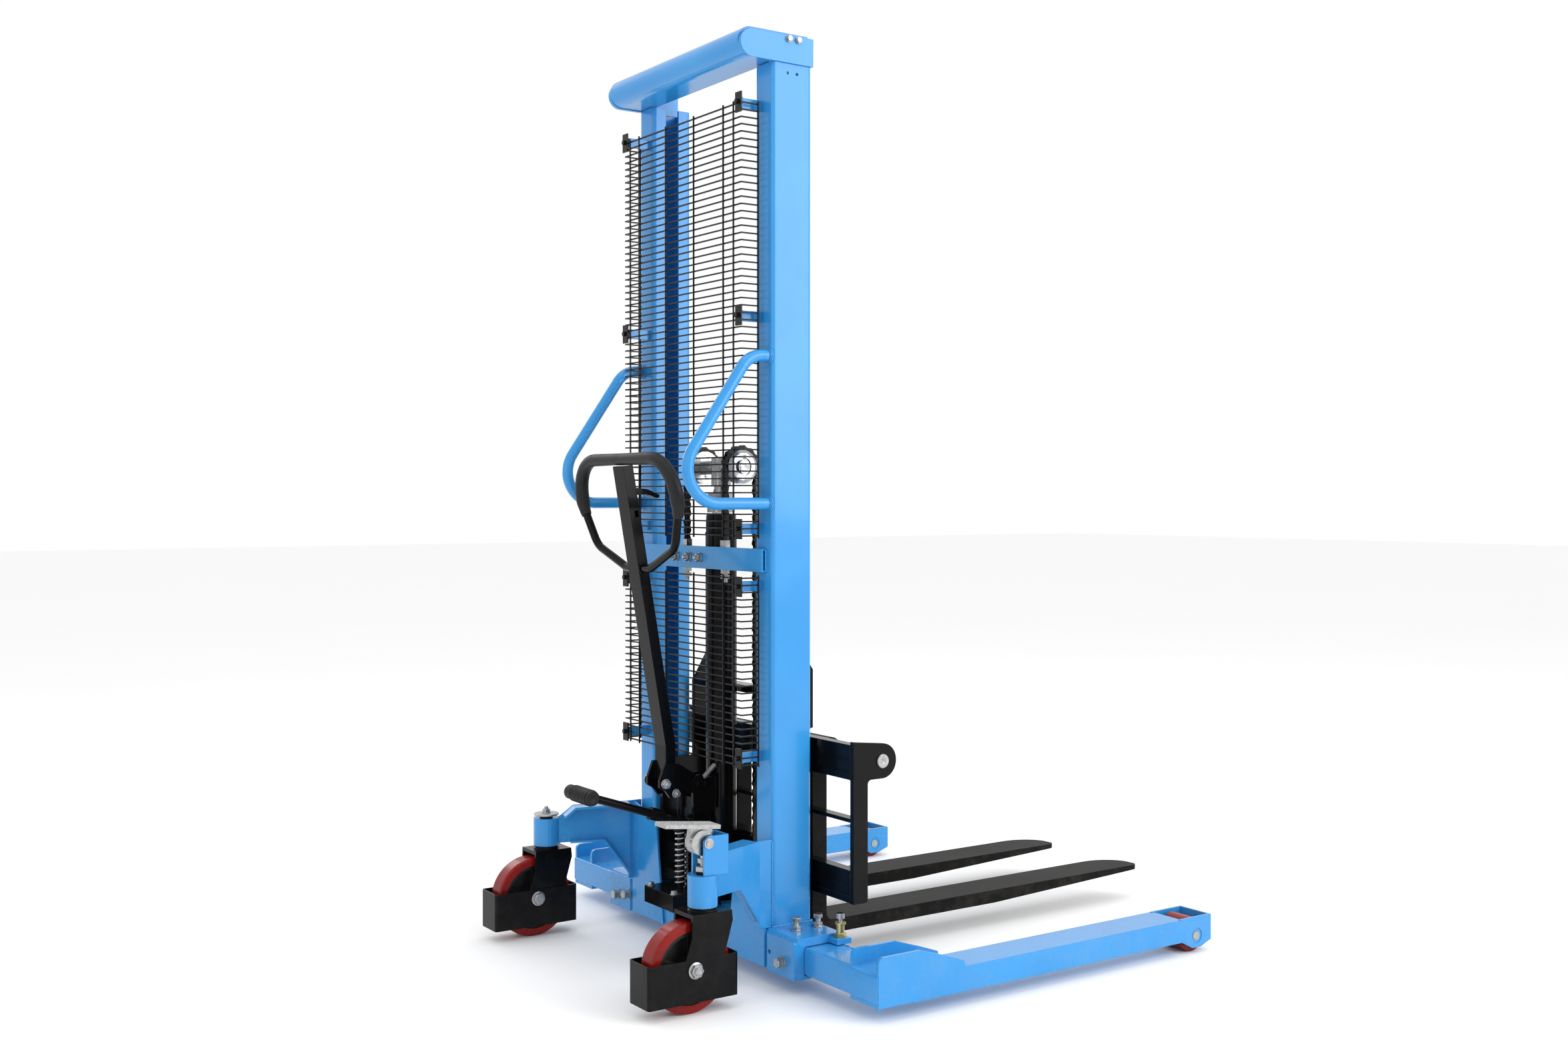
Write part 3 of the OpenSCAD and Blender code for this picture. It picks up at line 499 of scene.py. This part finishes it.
def fasten_casters():
    """Axle, its nut and bolt head, and the swivel's cap on the left or nut on the right."""
    reach = 0.0394                         # from the wheel's middle to the yoke's outer face
    cap_z = 0.2722
    for side, letter, word in SIDES:
        x = side * CASTER_X
        z = middle("caster_tread_" + word).z
        nut = (x + side * reach, REAR, z)
        bolt = (x - side * reach, REAR, z)
        parts = [
            fastener(nut, outward(side), **BOLTS["axle_nut"]),
            fastener(bolt, outward(-side), **BOLTS["axle_head"]),
            turned([(0.008, 0.0), (0.008, 0.078)], 24, "X", (x - 0.039, REAR, z)),
        ]
        if side < 0:
            cap = [(0.0285, 0.0), (0.029, 0.001), (0.029, 0.0030), (0.0275, 0.004)]
            parts.append(turned(cap, 48, "Z", (x, KING_Y, cap_z)))
            parts.append(fastener((x, KING_Y, cap_z + 0.0039), "Z", **BOLTS["swivel_cap"]))
        else:
            parts.append(turned(hex_head(0.027, 0.010), 6, "Z", (x, KING_Y, cap_z)))
        fitted(joined(parts), "caster_fasteners_" + word, "swivel_" + letter, "zinc_steel",
               ["caster_axle_" + word])


# ---------------------------------------------------------------------- chain

LINKS = 58                                 # links of one chain
CHAIN_RADIUS = 0.040                       # of the chain's middle line on its wheel
ANCHOR_Z = 0.9164                          # top of the chain anchor on the mast
LUG_Z = 0.2620                             # chain's end on the carriage
RISE = SHEAVE.z - ANCHOR_Z                 # length of the run up from the anchor
WRAP = math.pi * CHAIN_RADIUS              # length of the run over the wheel
LINK_PITCH = (RISE + WRAP + SHEAVE.z - LUG_Z) / LINKS
WAIST = 0.66                               # width of a link plate's waist, over its width
SAME_PLACE = 1e-5


def link_plate(length, half_height, thickness):
    """Waisted side plate lying along z, its middle at the origin, thin along x."""
    nothing_selected()
    bpy.ops.mesh.primitive_cylinder_add(vertices=14, radius=half_height, depth=thickness, location=(0, 0, 0))
    plate = bpy.context.active_object
    settled(plate, (0.0, math.pi / 2, 0.0))
    for corner in plate.data.vertices:
        corner.co.z += math.copysign(length / 2, corner.co.z)
    edit(plate)
    bpy.ops.mesh.bisect(plane_co=(0.0, 0.0, 0.0), plane_no=(0.0, 0.0, 1.0))
    done_editing()
    for corner in plate.data.vertices:
        if abs(corner.co.z) < SAME_PLACE:
            corner.co.y *= WAIST
    return plate


def chain_link(length, wide):
    """One link: two plates, with a roller at its lower end and pins if its plates are the outer ones."""
    spread = 0.0058 if wide else 0.0041
    plate = link_plate(length, half_height=0.0068, thickness=0.0015)
    parts = [copied(plate, Matrix.Translation((side * spread, 0.0, 0.0))) for side, _, _ in SIDES]
    bpy.data.objects.remove(plate)
    parts.append(pin_along_x(0.0052, 0.0036, 12, (0.0, 0.0, -length / 2)))
    if wide:
        for end in (-1, 1):
            parts.append(pin_along_x(0.0026, 0.0072, 10, (0.0, 0.0, end * length / 2)))
    return joined(parts)


def chain_point(s):
    """Place and slope of the chain at the distance s from its anchor."""
    if s < RISE:
        return (MAST_Y - CHAIN_RADIUS, ANCHOR_Z + s, 0.0)
    if s < RISE + WRAP:
        a = (s - RISE) / CHAIN_RADIUS
        return (MAST_Y - CHAIN_RADIUS * math.cos(a), SHEAVE.z + CHAIN_RADIUS * math.sin(a), -a)
    return (MAST_Y + CHAIN_RADIUS, SHEAVE.z - (s - RISE - WRAP), -math.pi)


def hang_chains():
    """Each chain as two pieces: the run on its wheel, and the run down to the carriage."""
    links = [chain_link(LINK_PITCH, wide) for wide in (False, True)]
    for side, _, word in SIDES:
        x = side * SHEAVE_X
        runs = {"rear": [], "front": []}
        for i in range(LINKS):
            s = (i + 0.5) * LINK_PITCH
            y, z, slope = chain_point(s)
            spot = Matrix.Translation((x, y, z)) @ Matrix.Rotation(slope, 4, "X")
            run = "rear" if s < RISE + WRAP else "front"
            runs[run].append(copied(links[i % 2], spot))
        nodes = ["chains"] if side > 0 else []
        rear = fitted(joined(runs["rear"]), "chain_over_wheel_" + word, None, "chain_steel", nodes,
                      rides=False)
        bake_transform(rear)
        front = fitted(joined(runs["front"]), "chain_to_carriage_" + word, "carriage", "chain_steel")
        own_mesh(front)
    for link in links:
        bpy.data.objects.remove(link)


# -------------------------------------------------------------------- springs

def coil(radius, wire, height, turns, sides=10):
    """Round-wire coil spring standing on z = 0."""
    nothing_selected()
    bpy.ops.mesh.primitive_circle_add(vertices=sides, radius=wire, fill_type="NOTHING",
                                      location=(0.0, 0.0, 0.0))
    spring = bpy.context.active_object
    settled(spring, (math.pi / 2, 0.0, 0.0))
    settled(spring, at=(radius, 0.0, wire))
    screw = spring.modifiers.new("wind", "SCREW")
    screw.axis = "Z"
    screw.angle = 2 * math.pi
    screw.screw_offset = (height - 2 * wire) / turns
    screw.iterations = turns
    screw.steps = screw.render_steps = 24
    take(spring)
    bpy.ops.object.modifier_apply(modifier="wind")
    edit(spring)
    bpy.ops.mesh.remove_doubles(threshold=1e-6)
    bpy.ops.mesh.select_all(action="DESELECT")
    bpy.ops.mesh.select_non_manifold()
    bpy.ops.mesh.edge_face_add()
    bpy.ops.mesh.select_all(action="SELECT")
    bpy.ops.mesh.normals_make_consistent(inside=False)
    done_editing()
    return spring


VALVE_LEAN = math.radians(49.0)            # lean of the valve spring back from the vertical


def set_springs():
    """The pump's return spring on its piston, and the thin pull spring of the valve."""
    low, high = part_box("pump_spring")
    spring = coil(radius=0.0117, wire=0.0024, height=high[2] - low[2], turns=10)
    settled(spring, at=(0.0, (low[1] + high[1]) / 2, low[2]))
    fitted(spring, "pump_return_coil", "chassis", "zinc_steel", ["pump_spring"], 60.0)
    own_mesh(spring)
    low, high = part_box("valve_spring")
    length = math.hypot(high[1] - low[1], high[2] - low[2]) - 0.006
    spring = coil(radius=0.0044, wire=0.0009, height=length, turns=18, sides=8)
    settled(spring, (-VALVE_LEAN, 0.0, 0.0))
    half = Vector((0.0, math.sin(VALVE_LEAN), math.cos(VALVE_LEAN))) * length / 2
    settled(spring, at=middle("valve_spring") - half)
    fitted(spring, "valve_pull_coil", "chassis", "zinc_steel", ["valve_spring"], 60.0)


# ---------------------------------------------------------------- pedal tread

def stud_pedal():
    """Rows of small pyramids that keep a shoe on the brake pedal."""
    rows, columns, pitch_x, pitch_y = 8, 24, 0.00523, 0.00524
    first = Vector((-0.0183, -0.0603, 0.0078))
    slope = Matrix.Rotation(math.radians(-6.4), 4, "X")
    plate = Matrix.Translation((CASTER_X, REAR + 0.006, 0.362)) @ slope
    nothing_selected()
    bpy.ops.mesh.primitive_cone_add(vertices=4, radius1=0.0029, radius2=0.0006, depth=0.0016,
                                    location=(0.0, 0.0, 0.0007))
    stud = bpy.context.active_object
    settled(stud)
    studs = []
    for i in range(rows):
        for j in range(columns):
            spot = Matrix.Translation(first + Vector((i * pitch_x, j * pitch_y, 0.0)))
            studs.append(copied(stud, plate @ spot))
    bpy.data.objects.remove(stud)
    return fitted(joined(studs), "pedal_tread_studs", "brake", "zinc_steel", angle=20.0)


# ---------------------------------------------------------------------- welds

RIPPLES = (0.82, 1.08, 0.95, 1.12)


def round_bar(places, radii, fineness=8):
    """Round bar through the places, its radius changing from place to place."""
    curve = bpy.data.curves.new("bar", "CURVE")
    curve.dimensions = "3D"
    curve.bevel_depth = 1.0
    curve.bevel_resolution = fineness
    curve.use_fill_caps = True
    spline = curve.splines.new("POLY")
    spline.points.add(len(places) - 1)
    for point, place, radius in zip(spline.points, places, radii):
        point.co = (*place, 1.0)
        point.radius = radius
    bar = bpy.data.objects.new("bar", curve)
    bpy.context.scene.collection.objects.link(bar)
    take(bar)
    bpy.ops.object.convert(target="MESH")
    return bpy.context.active_object


def weld(points, radius=0.0034, step=0.0032):
    """Rippled fillet bead along a line of points."""
    stops = []
    for a, b in zip(points, points[1:]):
        a, b = Vector(a), Vector(b)
        count = max(1, int((b - a).length / step))
        stops += [a.lerp(b, i / count) for i in range(count)]
    stops.append(Vector(points[-1]))
    radii = [radius * RIPPLES[i % len(RIPPLES)] for i in range(len(stops))]
    return round_bar(stops, radii, 2)


def ring_points(centre, radius, axis, count=28):
    points = []
    for i in range(count + 1):
        a = 2 * math.pi * i / count
        u, v = radius * math.cos(a), radius * math.sin(a)
        offset = {"X": (0.0, u, v), "Y": (u, 0.0, v), "Z": (u, v, 0.0)}[axis]
        points.append(Vector(centre) + Vector(offset))
    return points


# ------------------------------------------------------- tiller and foot lever

LEAN = math.radians(9.8)                   # lean of the tiller tube
KINK = (REAR + 0.157, 0.469)               # y and z where the tiller tube starts to lean
LOOP_HALF = 0.209                          # half the width of the tiller loop
LOOP_TOP = 0.632                           # the loop's top bar, along the tube
LOOP_BEND = 0.086                          # radius of the loop's top corners


def on_tiller(x, along):
    """Point of the tiller's plane: x, and the distance up along the leaning tube."""
    return Vector((x, KINK[0] - along * math.sin(LEAN), KINK[1] + along * math.cos(LEAN)))


def mould_grips():
    """Soft grips of the tiller loop: fuller at the sides, necked down at the ends."""
    bend_steps = 12
    inward = (0.0006, 0.0022, 0.0048, 0.0078)        # how far the lower side leans in
    along = (0.530, 0.523, 0.515, 0.5088)            # at these places along the tube
    path = [(x, LOOP_TOP) for x in (0.0002, 0.05, 0.09)]
    radii = [0.0128, 0.0130, 0.0134]
    for i in range(bend_steps + 1):
        a = math.pi / 2 * (1 - i / bend_steps)
        path.append((LOOP_HALF - LOOP_BEND * (1 - math.cos(a)), LOOP_TOP - LOOP_BEND * (1 - math.sin(a))))
        radii.append(0.0136 + 0.0016 * math.cos(a))
    path += [(LOOP_HALF, 0.541), (LOOP_HALF, 0.536)]
    path += [(LOOP_HALF - lean, place) for lean, place in zip(inward, along)]
    radii += [0.0152, 0.0148, 0.0138, 0.0126, 0.0120, 0.0112]
    parts = []
    for side, _, _ in SIDES:
        parts.append(round_bar([on_tiller(side * x, place) for x, place in path], radii))
    return fitted(joined(parts), "moulded_loop_grips", "tiller", "grip_rubber", ["tiller_grip"], 50.0)


FOOT_PIVOT = (REAR + 0.236, 0.282)         # y and z of the foot lever's pivot
FOOT_TILT = math.radians(18.8)
PAD_REACH = 0.300                          # from the pivot to the pad's axis


def mould_foot_pad():
    """Ribbed rubber sleeve on the foot lever's cross bar."""
    ribs, rib_pitch, first_rib = 12, 0.0062, -0.0285
    valley, crest = 0.0150, 0.0176
    profile = [(0.0128, -0.053), (0.0155, -0.0515), (0.0155, -0.030)]
    for i in range(ribs):
        x = first_rib + i * rib_pitch
        profile += [(valley, x), (crest, x + 0.0010), (crest, x + 0.0036), (valley, x + 0.0046)]
    profile += [(0.0158, 0.0475), (0.0158, 0.0515), (0.0135, 0.053), (0.0050, 0.053), (0.0032, 0.0524)]
    y = FOOT_PIVOT[0] - PAD_REACH * math.cos(FOOT_TILT)
    z = FOOT_PIVOT[1] + PAD_REACH * math.sin(FOOT_TILT)
    pad = turned(profile, 40, "X", (0.0, y, z))
    return fitted(pad, "ribbed_foot_pad", "foot", "grip_rubber", ["foot_pad"], 30.0)


def tiller_foot_bolts():
    """Plated bolts through the tiller's foot, a nut on each cheek."""
    upper, lower = (REAR + 0.137, 0.389), (REAR + 0.163, 0.366)
    parts = []
    for side, _, _ in SIDES:
        axis = outward(side)
        parts.append(fastener((side * 0.0371, *upper), axis, **BOLTS["tiller_upper"]))
        parts.append(fastener((side * 0.0361, *lower), axis, **BOLTS["tiller_lower"]))
    return fitted(joined(parts), "tiller_foot_bolts", "tiller", "zinc_steel")


# --------------------------------------------------- carriage, brake, cylinder

def crease_carriage_bars():
    """Rolled ribs along the carriage's channel bars and welds at their ends."""
    low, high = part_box("carriage_frame")
    back = low[1]
    rib_x = high[0] - 0.0125
    weld_x = rib_x - 0.0005
    middle_bar_z = 0.340
    parts = []
    for bar_z, half in ((0.4575, 0.0365), (0.198, 0.034)):
        for offset in (-0.55, 0.12):
            z = bar_z + offset * half
            parts.append(weld([(-rib_x, back + 0.0004, z), (rib_x, back + 0.0004, z)], 0.0019, 0.5))
        foot, top = bar_z - half, bar_z + half
        for side, _, _ in SIDES:
            x = side * weld_x
            parts.append(weld([(x, back + 0.001, foot), (x, back + 0.001, top)], 0.0028))
            parts.append(weld([(x, back + 0.002, top), (x, back + 0.024, top)], 0.0028))
    for side, _, _ in SIDES:
        x = side * weld_x
        parts.append(weld([(x, back + 0.002, middle_bar_z), (x, back + 0.023, middle_bar_z)], 0.0024))
    return fitted(joined(parts), "carriage_ribs_and_welds", "carriage", "black_enamel", angle=60.0)


def cap_shaft_ends():
    """Faced and centre-drilled ends of the fork shaft."""
    face = [(0.0148, 0.0), (0.0148, 0.0006), (0.0136, 0.0018), (0.0035, 0.0018), (0.0012, 0.0006)]
    centre = middle("fork_shaft")
    shaft_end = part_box("fork_shaft")[1][0] - 0.0002
    parts = []
    for side, _, _ in SIDES:
        parts.append(turned(face, 40, outward(side), (side * shaft_end, centre.y, centre.z)))
    return fitted(joined(parts), "fork_shaft_ends", "carriage", "zinc_steel")


def dress_brake():
    """Set screw and keeper ring of the brake cam."""
    socket_head = [(0.0042, 0.0), (0.0042, 0.0012), (0.0036, 0.0020), (0.0019, 0.0020), (0.0017, 0.0010)]
    screw = turned(socket_head, 20, "-Y", (0.352, REAR + 0.0086, 0.3335))
    keeper = [(0.0105, 0.0), (0.0105, 0.0012), (0.0072, 0.0012)]
    ring = turned(keeper, 32, "X", (0.3716, KING_Y, 0.330))
    return fitted(joined([screw, ring]), "brake_cam_hardware", "brake", "zinc_steel")


def cap_cylinder():
    """Gland nut of the lift cylinder and the stepped collar below it."""
    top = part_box("cylinder_tube")[1][2]
    gland = [(0.0335, 0.0), (0.0335, 0.009), (0.0315, 0.011), (0.0215, 0.011), (0.0206, 0.0095)]
    collar = [(0.0362, 0.0), (0.0362, 0.0030), (0.0352, 0.0042)]
    parts = [
        turned(gland, 48, "Z", (0.0, MAST_Y, top - 0.0002)),
        turned(collar, 48, "Z", (0.0, MAST_Y, top - 0.033)),
    ]
    return fitted(joined(parts), "cylinder_gland", "chassis", "black_enamel", angle=30.0)


def pin_chain_ends():
    """Clevis pins that hold the chain ends between the carriage's cheeks."""
    y, z = MAST_Y + CHAIN_RADIUS - 0.0008, LUG_Z - 0.0065
    parts = []
    for side, _, _ in SIDES:
        parts.append(pin_along_x(0.0030, 0.0165, 16, (side * SHEAVE_X, y, z), 0.0005))
    return fitted(joined(parts), "chain_end_pins", "carriage", "zinc_steel")


# ------------------------------------------------------------------ weld beads

def upright(x, y, low, high):
    return [(x, y, low), (x, y, high)]


def weld_frame():
    """Beads of the blue frame, the same on both sides."""
    handle_x, handle_feet, handle_bead = 0.266, (0.997, 1.305), 0.0155
    column_foot = [(0.213, 0.2515), (0.2806, 0.2515), (0.2806, 0.3525)]
    beads = []
    for side, _, _ in SIDES:
        for z in handle_feet:
            foot = (side * handle_x, COLUMN_REAR - 0.0006, z)
            beads.append(weld(ring_points(foot, handle_bead, "Y"), 0.0022, 0.004))
        # arm's folded sheet to the bearing tube
        beads.append(weld(upright(side * 0.3275, REAR + 0.0635, 0.2065, 0.264)))
        # folded sheet to the mast column
        beads.append(weld(upright(side * 0.2796, COLUMN_REAR - 0.001, 0.118, 0.294), 0.003))
        # column foot on the beam
        beads.append(weld([(side * x, REAR + y, 0.1146) for x, y in column_foot], 0.0028))
        # cross bar to the column
        beads.append(weld(upright(side * 0.2562, COLUMN_REAR - 0.0008, 0.855, 0.900), 0.0026))
        # socket's rear face
        beads.append(weld(upright(side * 0.2915, REAR + 0.2355, 0.034, 0.106), 0.0024))
    return fitted(joined(beads), "frame_weld_beads", "chassis", "blue_enamel", angle=60.0)


def weld_yokes():
    """Bead round each caster's swivel post where it meets the yoke."""
    for side, letter, word in SIDES:
        bead = weld(ring_points((side * CASTER_X, KING_Y, 0.1965), 0.0275, "Z"), 0.0026, 0.004)
        fitted(bead, "yoke_weld_" + word, "swivel_" + letter, "black_enamel", angle=60.0)


def weld_tiller():
    """Beads where the loop's lower ends meet the leaning tube."""
    tube_side, loop_foot = 0.0232, 0.394
    beads = []
    for side, _, _ in SIDES:
        ring = ring_points(on_tiller(side * tube_side, loop_foot), 0.0105, "X")
        beads.append(weld(ring, 0.0024, 0.0035))
    return fitted(joined(beads), "tiller_weld_beads", "tiller", "black_enamel", angle=60.0)


fasten_socket_beam()
fasten_frame()
fasten_casters()
hang_chains()
set_springs()
mould_grips()
mould_foot_pad()
tiller_foot_bolts()
crease_carriage_bars()
cap_shaft_ends()
dress_brake()
cap_cylinder()
pin_chain_ends()
stud_pedal()
weld_frame()
weld_yokes()
weld_tiller()

# -------------------------------------------------------------- camera, light

camera_data = bpy.data.cameras.new("camera")
camera_data.sensor_width = 36.0
camera_data.lens = 37.61
camera_data.shift_y = -0.0074
camera = bpy.data.objects.new("camera", camera_data)
camera.location = (3.105, -2.3095, 1.011)
camera.rotation_euler = (math.radians(89.49), 0.0, math.radians(55.62))
bpy.context.scene.collection.objects.link(camera)
bpy.context.scene.camera = camera

nothing_selected()
bpy.ops.mesh.primitive_plane_add(size=60.0, location=(0.0, 0.0, 0.0))
floor = bpy.context.active_object
floor.name = "studio_floor"
paper = Finish("pale_floor")
shade = paper.noise(0.8, 2.0)
paper.set(Base_Color=paper.blend(shade, (0.93, 0.93, 0.93), (0.95, 0.95, 0.95)),
          Roughness=(0.7 + shade * 0.1))
floor.data.materials.append(paper.material)


def soft_light(name, place, target, size, power, colour=(1.0, 1.0, 1.0)):
    data = bpy.data.lights.new(name, "AREA")
    data.shape = "RECTANGLE"
    data.size = size[0]
    data.size_y = size[1]
    data.energy = power
    data.color = colour
    lamp = bpy.data.objects.new(name, data)
    lamp.location = place
    aim = Vector(target) - Vector(place)
    lamp.rotation_euler = aim.to_track_quat("-Z", "Y").to_euler()
    bpy.context.scene.collection.objects.link(lamp)


MIDDLE = (0.0, 0.0, 0.9)
soft_light("key_right", (4.6, 2.2, 2.6), MIDDLE, (3.2, 3.6), 150.0)
soft_light("fill_behind", (0.8, -5.2, 2.2), MIDDLE, (3.0, 2.6), 22.0)
soft_light("overhead", (0.2, 0.0, 4.6), (0.0, 0.0, 0.0), (3.5, 3.5), 40.0)
soft_light("left_rim", (-4.0, -0.6, 2.4), MIDDLE, (1.2, 3.0), 24.0)

world = bpy.data.worlds.new("studio")
world.use_nodes = True
sky = world.node_tree.nodes["Background"]
sky.inputs["Color"].default_value = (1.0, 1.0, 1.0, 1.0)
sky.inputs["Strength"].default_value = 1.0
bpy.context.scene.world = world
bpy.context.scene.view_settings.view_transform = "Standard"
